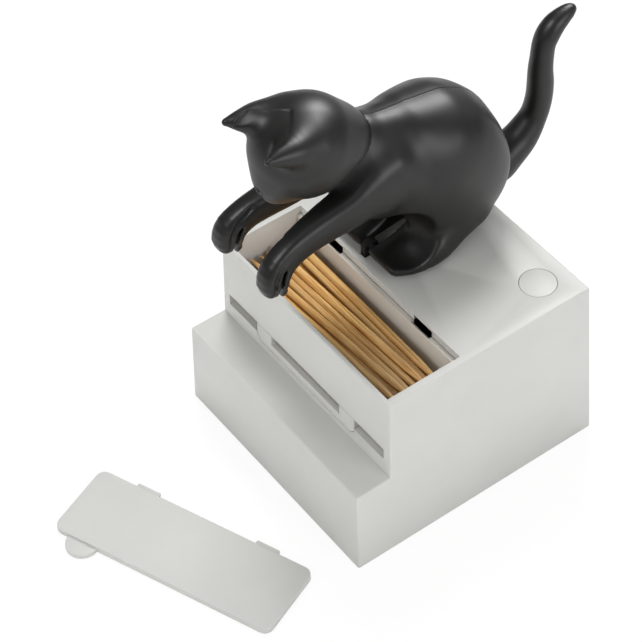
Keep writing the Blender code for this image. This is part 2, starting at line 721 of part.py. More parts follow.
def tail_form(name, grow=0.0, look=None, cutter=False):
    """The tail's bar; grow widens it for the pocket in the body."""
    shares = [(0.612, 0.044, 0.036), (0.640, 0.045, 0.0395), (0.668, 0.048, 0.044), (0.700, 0.062, 0.053), (0.7375, 0.086, 0.0515), (0.774, 0.107, 0.0475),
              (0.800, 0.1325, 0.043), (0.823, 0.1645, 0.0375), (0.836, 0.198, 0.0363), (0.8425, 0.2355, 0.0358),
              (0.844, 0.275, 0.0352), (0.843, 0.314, 0.0335), (0.846, 0.358, 0.0316), (0.8515, 0.397, 0.0312),
              (0.863, 0.4235, 0.0316), (0.8825, 0.4445, 0.030), (0.9075, 0.458, 0.0255), (0.932, 0.466, 0.019),
              (0.947, 0.4685, 0.011)]
    points = [cat_point(0, y, z) for y, z, radius in shares]
    if grow:
        points[0] = points[0] + (points[0] - points[1]).normalized() * grow
    radii = [radius * cat_span + grow for y, z, radius in shares]
    return tube(name, points, radii, look, cutter, resolution=4)


# Hollows: the bowl in each knee's front, and the slit that parts each paw's lobes.
scoop_off_share = 0.138
scoop_y_share = 0.300
scoop_z_share = 0.120
scoop_shares = (0.118, 0.088, 0.088)
slit_off_share = 0.0970
slit_y_share = -0.0730
slit_z_share = 0.1280

body = bmesh.new()
loft(body, torso_shares, egg_share=0.12, sides=28)
for side in (-1, 1):
    add_ball(body, side * 0.081, 0.487, 0.203, (0.082, 0.169, 0.189))
    add_ball(body, side * 0.070, 0.532, 0.147, (0.057, 0.145, 0.134))
    loft(body, foot_shares, side, corner_power=0.8)
    loft(body, foreleg_shares, side, corner_power=0.72)
body_skin = melt("body_skin", body, 0.15, cutter=True)

far = 2 * cat_span
sole_z = box_height + sole_gap
room_front = pivot_y - lever_half
room_back = deck_back + far
toe_steps = 8
toe_rise = math.acos(gap / toe_round)
sole_outline = [(room_front, 0), (room_back, 0), (room_back, sole_z)]
for step in range(toe_steps + 1):
    angle = toe_rise * step / toe_steps
    sole_outline.append((pivot_y - toe_round * math.sin(angle), pivot_z - toe_round * math.cos(angle)))
sole_outline.append((room_front, pivot_z - gap))
carve(body_skin, prism("sole_room", sole_outline, cat_x - far, cat_x + far, "X", cutter=True))
head_pocket = bmesh.new()
head_form(head_pocket, head_gap)
carve(body_skin, melt("head_pocket", head_pocket, 0.25, cutter=True))
carve(body_skin, tail_form("tail_pocket", tail_gap, cutter=True))
for side in (-1, 1):
    scoop_middle = cat_point(side * scoop_off_share, scoop_y_share, scoop_z_share)
    carve(body_skin, ball("leg_scoop_%d" % side, scoop_middle, [share * cat_span for share in scoop_shares],
                          cutter=True))
room_half = lug_width / 2 + gap
carve(body_skin, box("lug_room", (cat_x - room_half, cat_x + room_half), (room_front, pivot_y + crotch_depth),
                     (0, pivot_z + lug_half_depth + gap), cutter=True))
for side in (-1, 1):
    middle = cat_point(side * slit_off_share, slit_y_share, slit_z_share)
    reach = Vector((cat_span / 10, 0, 0))
    slit = box("paw_slit", (middle.x - reach.x, middle.x + reach.x),
               (middle.y - slit_width / 2, middle.y + slit_width / 2),
               (middle.z - slit_depth, middle.z + slit_depth), cutter=True)
    carve(body_skin, slit)
hollow_shares = (0.082, 0.12, 0.09)
carve(body_skin, ball("cat_hollow", cat_point(0, 0.45, 0.305), [share * cat_span for share in hollow_shares],
                      cutter=True))
carve(body_skin, rod("pin_bore", (cat_x - pivot_pin_half - gap, pivot_y, pivot_z),
                     (cat_x + pivot_pin_half + gap, pivot_y, pivot_z), pivot_pin_radius + slide_gap, cutter=True))
heel_hole = cat_point(0.128, 0.354, 0.014)
carve(body_skin, rod("heel_hole", heel_hole, heel_hole + Vector((2 * heel_hole_depth, 0, 0)), heel_hole_radius,
                     cutter=True, sides=12))
for name, side in (("cat_left_half", -1), ("cat_right_half", 1)):
    half = body_skin.copy()
    half.data = body_skin.data.copy()
    half.name = name
    half.hide_render = False
    half.display_type = "TEXTURED"
    place(half, black_cat)
    x_pair = sorted((cat_x + side * half_gap, cat_x + side * far))
    cut(half, box(name + "_room", x_pair, (deck_front - far, deck_back + far), (0, box_height + far), cutter=True),
        "INTERSECT")
    freeze(half)
    smooth(half, math.radians(50))
    set_origin(half, (cat_x, pivot_y, pivot_z))

# Head: the skull's ellipsoids and two ears that point forward.
ear_shares = [(0.058, 0.073, 0.552, 0.050, 0.051), (0.069, 0.018, 0.573, 0.042, 0.046),
              (0.0775, -0.0315, 0.588, 0.027, 0.029), (0.087, -0.065, 0.5975, 0.008, 0.007)]
head_mesh = bmesh.new()
head_form(head_mesh)
for side in (-1, 1):
    loft(head_mesh, ear_shares, side, sides=16)
head = melt("cat_head", head_mesh, 0.2, black_cat, rounds=2)
smooth(head, math.radians(50))
set_origin(head, (cat_x, pivot_y, pivot_z))

# Tail: rises behind the rump and curls back at its tip.
tail = tail_form("cat_tail", 0, black_cat)
smooth(tail, math.radians(50))
set_origin(tail, (cat_x, pivot_y, pivot_z))

# Pivot pin through both feet and the bracket's lug.
pin = rod("cat_pivot_pin", (cat_x - pivot_pin_half, pivot_y, pivot_z), (cat_x + pivot_pin_half, pivot_y, pivot_z),
          pivot_pin_radius, steel)
smooth(pin)
set_origin(pin, (cat_x, pivot_y, pivot_z))

# Toothpicks: layers along the bin's sloped floor; each row holds the left and right ends' places
# across the bin, as shares of its free depth.
layer_shares = [
    [(0.02, 0.02), (0.15, 0.15), (0.29, 0.28), (0.42, 0.42), (0.56, 0.56), (0.70, 0.70), (0.85, 0.84), (0.98, 0.98)],
    [(0.03, 0.06), (0.16, 0.19), (0.29, 0.32), (0.43, 0.45), (0.57, 0.58), (0.71, 0.71), (0.84, 0.84), (0.98, 0.97)],
    [(0.10, 0.27), (0.24, 0.41), (0.44, 0.54)]]
pick_length = bin_width - 2 * pick_room
free_depth = liner_inner - bin_front - 2 * (pick_radius + gap)
tilt = math.atan(floor_slope)
number = 0
for layer, rows in enumerate(layer_shares):
    for left_share, right_share in rows:
        number += 1
        ends = []
        for end, share in ((-1, left_share), (1, right_share)):
            y = bin_front + pick_radius + gap + share * free_depth
            z = (floor_front_z + floor_slope * (y - bin_front)
                 + (pick_radius + gap + layer * pick_layer) / math.cos(tilt))
            ends.append(Vector((end * pick_length / 2, y, z)))
        along = (ends[1] - ends[0]).normalized()
        points = [ends[0], ends[0] + along * pick_point, ends[1] - along * pick_point, ends[1]]
        pick = tube("toothpick_%02d" % number, points,
                    [pick_radius * pick_tip_share, pick_radius, pick_radius, pick_radius * pick_tip_share], birch)
        smooth(pick, math.radians(50))
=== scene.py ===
"""Toothpick dispenser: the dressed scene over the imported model.

Metres, +Z up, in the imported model's frame: the front faces -Y, and the box stands on Z = 0.
"""

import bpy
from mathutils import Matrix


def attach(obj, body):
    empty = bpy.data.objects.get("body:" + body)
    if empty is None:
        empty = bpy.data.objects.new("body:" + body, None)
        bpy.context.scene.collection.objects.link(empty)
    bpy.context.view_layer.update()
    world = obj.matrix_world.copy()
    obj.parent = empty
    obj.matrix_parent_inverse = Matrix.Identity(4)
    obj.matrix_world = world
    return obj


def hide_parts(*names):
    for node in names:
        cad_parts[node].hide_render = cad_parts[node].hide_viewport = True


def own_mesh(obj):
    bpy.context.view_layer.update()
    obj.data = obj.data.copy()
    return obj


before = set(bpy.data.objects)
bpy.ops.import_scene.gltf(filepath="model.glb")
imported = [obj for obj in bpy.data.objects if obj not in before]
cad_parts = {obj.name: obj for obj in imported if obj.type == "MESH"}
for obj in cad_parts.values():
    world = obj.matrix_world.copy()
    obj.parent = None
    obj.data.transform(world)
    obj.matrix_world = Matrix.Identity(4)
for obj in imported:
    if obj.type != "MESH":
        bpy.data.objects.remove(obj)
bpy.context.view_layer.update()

import math

import bmesh
import bpy
import numpy as np
from mathutils import Matrix, Vector

# Camera: stands high up to the right of the front and looks down at the box, as in the
# photograph. Its place and turn come from a fit to the box's corners; it has no shift.
sight = bpy.data.cameras.new("sight")
sight.lens = 141.2
sight.sensor_width = 36
sight.clip_end = 20
camera = bpy.data.objects.new("camera", sight)
camera.matrix_world = Matrix((
    (0.592121, -0.583066, 0.556262, 0.356203),
    (0.804987, 0.459894, -0.374826, -0.261164),
    (-0.037274, 0.669725, 0.741673, 0.525354),
    (0, 0, 0, 1)))
bpy.context.scene.collection.objects.link(camera)
bpy.context.scene.camera = camera
bpy.context.scene.view_settings.view_transform = "Standard"

# Housing: the L-shaped shell of the box, moulded in light grey ABS with a satin skin. Its packed
# shape is kept, and the edges that are still sharp there are rounded by 0.22 mm.
shell_grey = "#D3D3CF"
shell_shade = "#D0D0CC"


def linear(colour):
    """A hex sRGB colour as linear red, green, blue and alpha."""
    parts = [int(colour[place:place + 2], 16) / 255 for place in (1, 3, 5)]
    return [c / 12.92 if c <= 0.04045 else ((c + 0.055) / 1.055) ** 2.4 for c in parts] + [1]


def add_node(look, kind, inputs=None, **settings):
    """Add a shader node; an input is a value, or another node's output socket to link from."""
    made = look.node_tree.nodes.new(kind)
    for name, value in settings.items():
        setattr(made, name, value)
    for name, value in (inputs or {}).items():
        if isinstance(value, bpy.types.NodeSocket):
            look.node_tree.links.new(value, made.inputs[name])
        else:
            made.inputs[name].default_value = value
    return made


def moulded_plastic(name, light, shade, roughness, gloss=0.2, grain_mm=0.5, depth_mm=0.02):
    """Injection-moulded plastic: a faint flow mottle between two shades, a spark-eroded skin
    whose grain and depth are given in millimetres, and a roughness that wanders with the mottle."""
    look = bpy.data.materials.new(name)
    look.use_nodes = True
    shader = look.node_tree.nodes["Principled BSDF"]
    shader.inputs["IOR"].default_value = 1.5
    shader.inputs["Specular IOR Level"].default_value = gloss
    place = add_node(look, "ShaderNodeTexCoord").outputs["Object"]
    mottles_per_m = 70.0
    mottle = add_node(look, "ShaderNodeTexNoise", {
        "Vector": place, "Scale": mottles_per_m, "Detail": 3.0, "Roughness": 0.55})
    spread = {"Value": mottle.outputs["Fac"], "From Min": 0.3, "From Max": 0.7}
    tone = add_node(look, "ShaderNodeMapRange", spread)
    mix = add_node(look, "ShaderNodeMix", data_type="RGBA")
    look.node_tree.links.new(tone.outputs["Result"], mix.inputs[0])
    mix.inputs[6].default_value = linear(light)
    mix.inputs[7].default_value = linear(shade)
    look.node_tree.links.new(mix.outputs[2], shader.inputs["Base Color"])
    wander = 0.03
    satin = add_node(look, "ShaderNodeMapRange", {
        **spread, "To Min": roughness - wander, "To Max": roughness + wander})
    look.node_tree.links.new(satin.outputs["Result"], shader.inputs["Roughness"])
    skin = add_node(look, "ShaderNodeTexNoise", {"Vector": place, "Scale": 1000 / grain_mm, "Detail": 2.0})
    bump = add_node(look, "ShaderNodeBump", {
        "Height": skin.outputs["Fac"], "Strength": 0.35, "Distance": depth_mm / 1000})
    look.node_tree.links.new(bump.outputs["Normal"], shader.inputs["Normal"])
    return look


def dressed(node, look, body, radius):
    """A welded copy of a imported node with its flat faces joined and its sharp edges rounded."""
    weld = 0.000002
    flat = math.radians(0.6)
    sharp = math.radians(38)
    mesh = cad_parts[node].data.copy()
    welded = bmesh.new()
    welded.from_mesh(mesh)
    bmesh.ops.remove_doubles(welded, verts=welded.verts, dist=weld)
    bmesh.ops.dissolve_limit(welded, angle_limit=flat, verts=welded.verts, edges=welded.edges)
    welded.to_mesh(mesh)
    welded.free()
    made = bpy.data.objects.new(node + "_dressed", mesh)
    bpy.context.scene.collection.objects.link(made)
    mesh.materials.clear()
    mesh.materials.append(look)
    mesh.shade_smooth()
    if radius:
        rounded = made.modifiers.new("rounded", "BEVEL")
        rounded.width = radius
        rounded.segments = 2
        rounded.limit_method = "ANGLE"
        rounded.angle_limit = sharp
        rounded.use_clamp_overlap = True
        rounded.harden_normals = True
    else:
        mesh.set_sharp_from_angle(angle=sharp)
    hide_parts(node)
    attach(made, body)
    return made


grey_abs = moulded_plastic("moulded_abs_light_grey", shell_grey, shell_shade, 0.42)
dressed("housing", grey_abs, "box", 0.00022)

# Front gate: the U-shaped tongue under the windows, moulded in one piece with the housing on the
# real object. A slit runs round its sides and foot; along its top it meets the housing's face.
dressed("front_gate", grey_abs, "gate", 0.00015)

# Hopper liner: the bin's back wall and sloped floor, in a slightly warmer grey ABS. Its grey is
# painted lighter than the housing's: painted light that makes up for the shade inside the bin. The
# packed solid stands a fitting gap off the housing's wall; here its back is moved up to that wall.
liner_abs_painted_light = moulded_plastic("moulded_abs_warm_grey_painted_light", "#DAD5CC", "#D6D1C8", 0.5)
liner = dressed("hopper_liner", liner_abs_painted_light, "box", 0.00004)
fitting_gap = 0.00029
in_front_of_back = -0.0034
places = np.zeros(len(liner.data.vertices) * 3)
liner.data.vertices.foreach_get("co", places)
places = places.reshape(-1, 3)
places[places[:, 1] > in_front_of_back, 1] += fitting_gap
liner.data.vertices.foreach_set("co", places.ravel())

# Lid: a 2 mm plate with round corners, two tabs on its back edge and a half-round thumb tab.
# It lies on the table in front of the box, right way up. Its edges are rounded by 0.4 mm.
lid_abs = moulded_plastic("moulded_abs_lid_grey", "#CECECB", "#CBCBC8", 0.45)
dressed("bin_lid", lid_abs, "lid", 0.0004)

# Key: a round cap flush with the deck, moulded in the shell's grey, on a long stem with a flange.
# It goes down with the button's slide, and its edges are rounded by 0.12 mm.
dressed("push_button", grey_abs, "button", 0.00012)

# Cat: two half shells of satin black ABS meet along the spine, with the head and the tail as
# pieces of their own. The cat stands on its hind feet and reaches over the bin with its paws.
# Places are in millimetres: off the middle plane, behind the deck's front edge, above the deck.
# The body is a field of distances, and its skin is drawn where the field is zero.
cat_middle = -0.0091
deck_front = -0.0266
deck_top = 0.054
voxel_mm = 0.45


def smooth_rows(rows, steps=5):
    """Rows along a path with Catmull-Rom rows put between them: each new row is the cubic blend
    of the two rows on either side of it."""
    rows = np.array(rows, float)
    padded = np.vstack([2 * rows[0] - rows[1], rows, 2 * rows[-1] - rows[-2]])
    before, start, end, after = padded[:-3], padded[1:-2], padded[2:-1], padded[3:]
    share = (np.arange(steps) / steps)[None, :, None]
    blended = 0.5 * (2 * start[:, None] + (end - before)[:, None] * share
                     + (2 * before - 5 * start + 4 * end - after)[:, None] * share ** 2
                     + (3 * start - before - 3 * end + after)[:, None] * share ** 3)
    return np.vstack([blended.reshape(-1, rows.shape[1]), rows[-1:]])


def limb(x, y, z, rows, egg=0.0, square=2.0):
    """Distance to a limb whose rows hold y, z, half height, half width and its distance off the
    middle plane. The nearest place on the path gives a superellipse k0 of the power square, and
    the distance is (k0 - 1) over the length of its gradient. egg narrows the upper half."""
    best = np.full(np.broadcast(y, z).shape, np.inf)
    kept = [np.zeros(best.shape) for _ in range(5)]
    for first, second in zip(rows[:-1], rows[1:]):
        along = second[:2] - first[:2]
        length = math.hypot(*along)
        along = along / length
        from_start = ((y - first[0]) * along[0] + (z - first[1]) * along[1]) / length
        share = np.clip(from_start, 0, 1)
        over = (from_start - share) * length
        side = -(y - first[0]) * along[1] + (z - first[1]) * along[0]
        away = over ** 2 + side ** 2
        nearer = away < best
        best = np.where(nearer, away, best)
        row = first[2:] + (second[2:] - first[2:]) * share[..., None]
        for place, value in enumerate((side, over, row[..., 0], row[..., 1], row[..., 2])):
            kept[place] = np.where(nearer, value, kept[place])
    side, over, high, wide, off = kept
    wide = wide * (1 - egg * np.clip(side / high, -1, 1))
    cap = np.minimum(high, wide)
    flat = np.abs(side / high) ** square + np.abs(over / cap) ** square
    k0 = (flat + np.abs((x - off) / wide) ** square) ** (1 / square) + 1e-9
    slope = ((np.abs(side / high) ** (square - 1) / high) ** 2
             + (np.abs(over / cap) ** (square - 1) / cap) ** 2
             + (np.abs((x - off) / wide) ** (square - 1) / wide) ** 2) ** 0.5 * k0 ** (1 - square)
    return (k0 - 1) / np.maximum(slope, 0.001)


def ball(x, y, z, centre, radii):
    """Distance to an ellipsoid: k0 (k0 - 1) / k1, where k0 and k1 are the lengths of the place
    over the radii and over their squares."""
    across, forward, rise = x - centre[0], y - centre[1], z - centre[2]
    k0 = np.sqrt((across / radii[0]) ** 2 + (forward / radii[1]) ** 2 + (rise / radii[2]) ** 2)
    k1 = np.sqrt((across / radii[0] ** 2) ** 2 + (forward / radii[1] ** 2) ** 2
                 + (rise / radii[2] ** 2) ** 2) + 1e-9
    return k0 * (k0 - 1) / k1


def join(first, second, width):
    """The two bodies as one, with a fillet about width wide where they meet."""
    share = np.clip(0.5 + 0.5 * (second - first) / width, 0, 1)
    return second * (1 - share) + first * share - width * share * (1 - share)


def carve(body, tool, width):
    """The body without the tool, with a rounding about width wide along the rim."""
    return -join(-body, tool, width)


def sampled(fields, spots):
    """The fields at places between the grid's points: the weighted mean of the eight nearest."""
    base = np.clip(np.floor(spots).astype(int), 0, np.array(fields[0].shape) - 2)
    part = spots - base
    values = np.zeros((len(fields), len(spots)))
    for dx, dy, dz in np.ndindex(2, 2, 2):
        weight = (np.where(dx, part[:, 0], 1 - part[:, 0]) * np.where(dy, part[:, 1], 1 - part[:, 1])
                  * np.where(dz, part[:, 2], 1 - part[:, 2]))
        cell = (base[:, 0] + dx, base[:, 1] + dy, base[:, 2] + dz)
        values += weight * np.stack([field[cell] for field in fields])
    return values


def skin_of(field, low, step):
    """Surface nets: one corner in each cell that the surface crosses, at the mean of the
    crossings on the cell's edges, and one face round each crossed edge of the grid. The corners
    then slide along the field's slope onto its zero."""
    inside = field < 0
    cells = tuple(size - 1 for size in field.shape)
    total = np.zeros(cells + (3,))
    count = np.zeros(cells)
    crossed = []
    for axis in range(3):
        ahead = np.take(field, range(1, field.shape[axis]), axis)
        behind = np.take(field, range(cells[axis]), axis)
        cross = (ahead < 0) != (behind < 0)
        share = np.where(cross, behind / np.where(cross, behind - ahead, 1), 0)
        places = np.stack(np.meshgrid(*[np.arange(size) for size in behind.shape], indexing="ij"), -1)
        places = places.astype(float)
        places[..., axis] += share
        crossed.append(cross)
        others = [other for other in range(3) if other != axis]
        for shift in ((0, 0), (0, 1), (1, 0), (1, 1)):
            window = [slice(None)] * 3
            for other, offset in zip(others, shift):
                window[other] = slice(offset, offset + cells[other])
            window = tuple(window)
            total += np.where(cross[window][..., None], places[window], 0)
            count += cross[window]
    active = count > 0
    numbers = np.full(cells, -1)
    numbers[active] = np.arange(active.sum())
    corners = total[active] / count[active][:, None]
    slopes = np.gradient(field)
    for _ in range(2):
        values = sampled([field, *slopes], corners)
        slope = values[1:].T
        move = values[0] / np.maximum((slope ** 2).sum(1), 1e-9)
        corners = corners - np.clip(move, -0.5, 0.5)[:, None] * slope
    faces = []
    for axis, cross in enumerate(crossed):
        u, v = [other for other in range(3) if other != axis]
        spots = np.argwhere(cross)
        spots = spots[(spots[:, u] > 0) & (spots[:, v] > 0)
                      & (spots[:, u] < cells[u]) & (spots[:, v] < cells[v])]
        ring = []
        for du, dv in ((1, 1), (0, 1), (0, 0), (1, 0)):
            spot = spots.copy()
            spot[:, u] -= du
            spot[:, v] -= dv
            ring.append(numbers[tuple(spot.T)])
        quads = np.stack(ring, 1)
        starts_inside = inside[tuple(spots.T)]
        if axis == 1:
            starts_inside = ~starts_inside
        quads[~starts_inside] = quads[~starts_inside][:, ::-1]
        faces.append(quads)
    return np.array(low) + corners * step, np.vstack(faces)


def soften(field, rounds):
    """Each value becomes half of itself and a quarter of each neighbour, along each axis in turn."""
    for _ in range(rounds):
        for axis in range(3):
            padded = np.pad(field, [(1, 1) if other == axis else (0, 0) for other in range(3)], mode="edge")
            before = np.take(padded, range(field.shape[axis]), axis)
            after = np.take(padded, range(2, field.shape[axis] + 2), axis)
            field = 0.5 * field + 0.25 * (before + after)
    return field


def square_up(corners, field, low, step, side, plane):
    """Sharpen the rim of a flat cut: the corners in the cut's layer of cells go onto the plane,
    and those near the skin slide in that plane down the field's slope onto its zero."""
    corners = corners.copy()
    cut_layer = 0.55 * step
    rim_reach = 0.65 * step
    near = side * corners[:, 0] < plane + cut_layer
    corners[near, 0] = side * plane
    slopes = np.gradient(field, step)
    for _ in range(3):
        values = sampled([field, slopes[1], slopes[2]], (corners[near] - np.array(low)) / step)
        move = np.where(np.abs(values[0]) < rim_reach, values[0], 0)
        move = move / np.maximum(values[1] ** 2 + values[2] ** 2, 0.05)
        corners[near, 1] -= move * values[1]
        corners[near, 2] -= move * values[2]
    return corners


def put(name, corners, faces, look, slot, body, *nodes):
    """Make a piece from numpy corners in metres and faces, smooth shaded, in place of its nodes."""
    mesh = bpy.data.meshes.new(name)
    mesh.vertices.add(len(corners))
    mesh.vertices.foreach_set("co", np.ascontiguousarray(corners, np.float32).ravel())
    mesh.loops.add(faces.size)
    mesh.loops.foreach_set("vertex_index", np.ascontiguousarray(faces, np.int32).ravel())
    mesh.polygons.add(len(faces))
    mesh.polygons.foreach_set("loop_start", np.arange(0, faces.size, faces.shape[1], dtype=np.int32))
    mesh.update(calc_edges=True)
    mesh.validate()
    mesh.materials.append(look)
    mesh.shade_smooth()
    mesh.set_sharp_from_angle(angle=math.radians(60))
    made = bpy.data.objects.new(name, mesh)
    bpy.context.scene.collection.objects.link(made)
    if nodes:
        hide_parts(*nodes)
    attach(made, body)
    return made


def grid(low, high, step):
    """Open arrays of x, y and z between two corners."""
    axes = [np.arange(a, b + step, step) for a, b in zip(low, high)]
    return axes[0][:, None, None], axes[1][None, :, None], axes[2][None, None, :]


def in_place(corners):
    """Cat millimetres to metres in the model's frame."""
    return corners / 1000 + np.array([cat_middle, deck_front, deck_top])


def skull(x, y, z, grow=0.0):
    """Skull, nape, muzzle and jaw as joined ellipsoids."""
    head = ball(x, y, z, (0, 9.19, 49.57), (12.94, 14.08, 13.17))
    head = join(head, ball(x, y, z, (0, 16.64, 47.99), (10.66, 10.19, 7.43)), 3.0)
    head = join(head, ball(x, y, z, (0, 2.07, 44.65), (5.72, 6.68, 5.12)), 3.0)
    head = join(head, ball(x, y, z, (0, 3.63, 41.43), (4.56, 7.61, 6.45)), 3.0)
    return head - grow


def trench(y, z, path):
    """Distance to a line of points in the YZ plane, whatever the place along X."""
    best = np.full(np.broadcast(y, z).shape, np.inf)
    for (y0, z0), (y1, z1) in zip(path[:-1], path[1:]):
        along_y, along_z = y1 - y0, z1 - z0
        share = ((y - y0) * along_y + (z - z0) * along_z) / (along_y ** 2 + along_z ** 2)
        share = np.clip(share, 0, 1)
        best = np.minimum(best, np.hypot(y - y0 - share * along_y, z - z0 - share * along_z))
    return best


black_abs = moulded_plastic("moulded_abs_gloss_black", "#141413", "#161615", 0.42,
                            gloss=0.5, grain_mm=0.6, depth_mm=0.008)

# Rows: y, z, half height, half width and distance off the middle plane.
torso_rows = smooth_rows([
    (15.6, 41.0, 6.9, 6.2, 0), (23.2, 38.6, 11.6, 8.6, 0), (31.01, 32.39, 16.6, 12.1, 0),
    (38.95, 30.05, 16.21, 14.32, 0), (46.27, 29.73, 15.18, 15.0, 0), (51.84, 25.95, 14.49, 13.86, 0),
    (54.84, 21.03, 12.6, 12.55, 0), (56.18, 14.04, 10.2, 10.38, 0), (56.89, 7.08, 6.84, 7.26, 0)], 2)
foot_rows = smooth_rows([
    (27.3, 2.1, 2.2, 5.9, 7.1), (30.85, 2.3, 2.74, 6.5, 8.4), (35.17, 3.08, 3.34, 7.1, 9.0),
    (40.41, 4.78, 4.83, 7.17, 9.1), (46.46, 7.01, 6.47, 6.78, 7.91), (51.64, 8.68, 7.51, 6.11, 7.23)], 2)
foreleg_rows = smooth_rows([
    (28.89, 33.91, 6.2, 4.67, 7.59), (21.72, 32.18, 6.4, 4.97, 8.12), (15.81, 30.55, 5.58, 4.65, 8.32),
    (8.95, 29.2, 4.9, 4.09, 8.08), (2.18, 28.03, 4.42, 3.48, 8.39), (-3.0, 26.64, 4.23, 3.24, 8.95),
    (-6.94, 24.2, 4.26, 3.36, 9.43), (-8.35, 20.98, 3.99, 3.48, 9.65), (-7.55, 18.91, 3.57, 2.75, 9.72),
    (-6.98, 17.27, 2.01, 2.05, 9.74)], 3)
low = (-18.2, -14.0, -1.0)
x, y, z = grid(low, (18.2, 71.0, 52.5), voxel_mm)
away = np.abs(x)
body = limb(away, y, z, torso_rows, 0.12, 2.2)
body = join(body, ball(away, y, z, (7.98, 48.74, 20.14), (8.2, 16.99, 18.81)), 4.0)
body = join(body, ball(away, y, z, (7.01, 53.18, 14.75), (5.72, 14.47, 13.37)), 4.0)
soft_mm = 1.5
body = soften(body, int(round((soft_mm / voxel_mm) ** 2 * 2))) + 0.1
body = join(body, limb(away, y, z, foot_rows, 0.0, 3.2), 2.5)
body = carve(body, ball(away, y, z, (13.8, 30.0, 12.0), (11.8, 8.8, 8.8)), 1.0)
shoulder_fillet = 2.5 + 4.0 * np.clip((y - 12) / 12, 0, 1)
body = join(body, limb(away, y, z, foreleg_rows, 0.0, 2.8), shoulder_fillet)

# Toes: round under the pivot pin, then rising by the cat's full swing, so that they clear the deck.
swing = math.radians(50)
toe_radius = 2.1
from_pin, over_pin = y - 28.0, z - 2.4
under = -math.sin(swing) * from_pin - math.cos(swing) * over_pin
under = np.where(from_pin > math.tan(swing) * over_pin, np.hypot(from_pin, over_pin), under)
only_feet = 4.0 * np.clip(z - 7.0, 0, 50)
under = np.where(from_pin > 0, -over_pin, under) - toe_radius - only_feet
body = carve(body, -under, 2.5)

# Room between the feet, the neck's seat, the paws' slots and grooves, and the hole in the foot.
crotch = np.maximum(np.maximum(away - 1.2 - 0.2 * np.clip(y - 30.5, 0, 5), z - 9.0), y - 42.0)
body = carve(body, crotch, 0.6)
body = carve(body, skull(x, y, z, 0.1), 0.2)
slot = trench(y, z, [(-6.2, 24.6), (-7.4, 22.4), (-7.9, 19.5), (-7.6, 12.0)]) - 0.6
body = carve(body, np.maximum(slot, 5 - away), 0.5)
groove = trench(y, z, [(-2.6, 30.0), (-6.9, 27.2), (-9.2, 23.6), (-9.7, 20.0), (-9.3, 16.0)]) - 0.4
body = carve(body, np.maximum(groove, 2.6 - np.abs(away - 9.5)), 0.6)
body = carve(body, ball(away, y, z, (15.0, 35.4, 1.3), (1.6, 1.1, 0.7)), 0.3)
hairline = 0.1
halves = (("cat_far_half_skin", -1, "cat_left_half"), ("cat_near_half_skin", 1, "cat_right_half"))
for name, side, node in halves:
    field = np.maximum(body, hairline - side * x)
    corners, faces = skin_of(field, low, voxel_mm)
    corners = square_up(corners, body, low, voxel_mm, side, hairline)
    put(name, in_place(corners), faces, black_abs, "black_cat", "cat", node)

# Head: a piece of its own in the cat's black ABS, pressed onto the body. A wedge behind a curved
# rim cuts the ears free, down to a valley that falls forward over the brow; the nose is a dent.
low = (-15.0, -10.0, 31.0)
head_voxel = voxel_mm * 0.8
x, y, z = grid(low, (15.0, 29.5, 65.0), head_voxel)
away = np.abs(x)
head = skull(x, y, z)
ear_rows = smooth_rows([
    (7.32, 55.22, 5.0, 5.09, 5.83), (1.81, 57.32, 4.24, 4.64, 6.89), (-3.15, 58.79, 2.72, 2.87, 7.75),
    (-6.7, 59.8, 1.0, 0.95, 8.75)], 4)
head = join(head, limb(away, y, z, ear_rows), 3.0)
crown = 6.6
ahead = np.clip(crown - y, 0, 13)
rim = 1.35 * ahead - 0.055 * ahead ** 2 - 0.35 * np.clip(ahead - 8.0, 0, 6)
wedge = 0.8 * (np.sqrt(x ** 2 + 0.1) - rim + np.clip(y - crown, 0, 50))
valley = 61.3 + 0.6 * (y - 1.33) - 0.46 * np.sqrt((y - 1.33) ** 2 + 1)
sides = 0.09 * np.sqrt(x ** 2 + 0.2) * np.clip(2.8 - y, 0, 12)
head = carve(head, np.maximum(wedge, (valley + sides - z) / 1.4), 0.5)
head = carve(head, ball(x, y, z, (0, -5.1, 42.7), (1.3, 1.0, 1.1)), 0.4)
corners, faces = skin_of(head, low, head_voxel)
put("cat_head_skin", in_place(corners), faces, black_abs, "black_cat", "cat", "cat_head")

# Tail: a round bar in the cat's black ABS, 10.7 mm thick at its root and 6 mm towards its tip. It
# rises behind the rump and curls back. Its rows hold y, z and the radius, in millimetres.


def swept_bar(path, radii, sides=40):
    """A round bar along a path in the YZ plane: each ring stands square to the path, and the ends
    are left open."""
    slope = np.gradient(path, axis=0)
    slope /= np.linalg.norm(slope, axis=1)[:, None]
    angle = 2 * np.pi * np.arange(sides) / sides
    across = np.zeros_like(path)
    across[:, 0] = 1
    up = np.cross(slope, across)
    rings = path[:, None] + radii[:, None, None] * (across[:, None] * np.cos(angle)[None, :, None]
                                                    + up[:, None] * np.sin(angle)[None, :, None])
    corners = rings.reshape(-1, 3)
    row, turn = np.meshgrid(np.arange(len(path) - 1), np.arange(sides), indexing="ij")
    after = (turn + 1) % sides
    faces = np.stack([row * sides + turn, row * sides + after, (row + 1) * sides + after,
                      (row + 1) * sides + turn], -1).reshape(-1, 4)
    return corners, faces


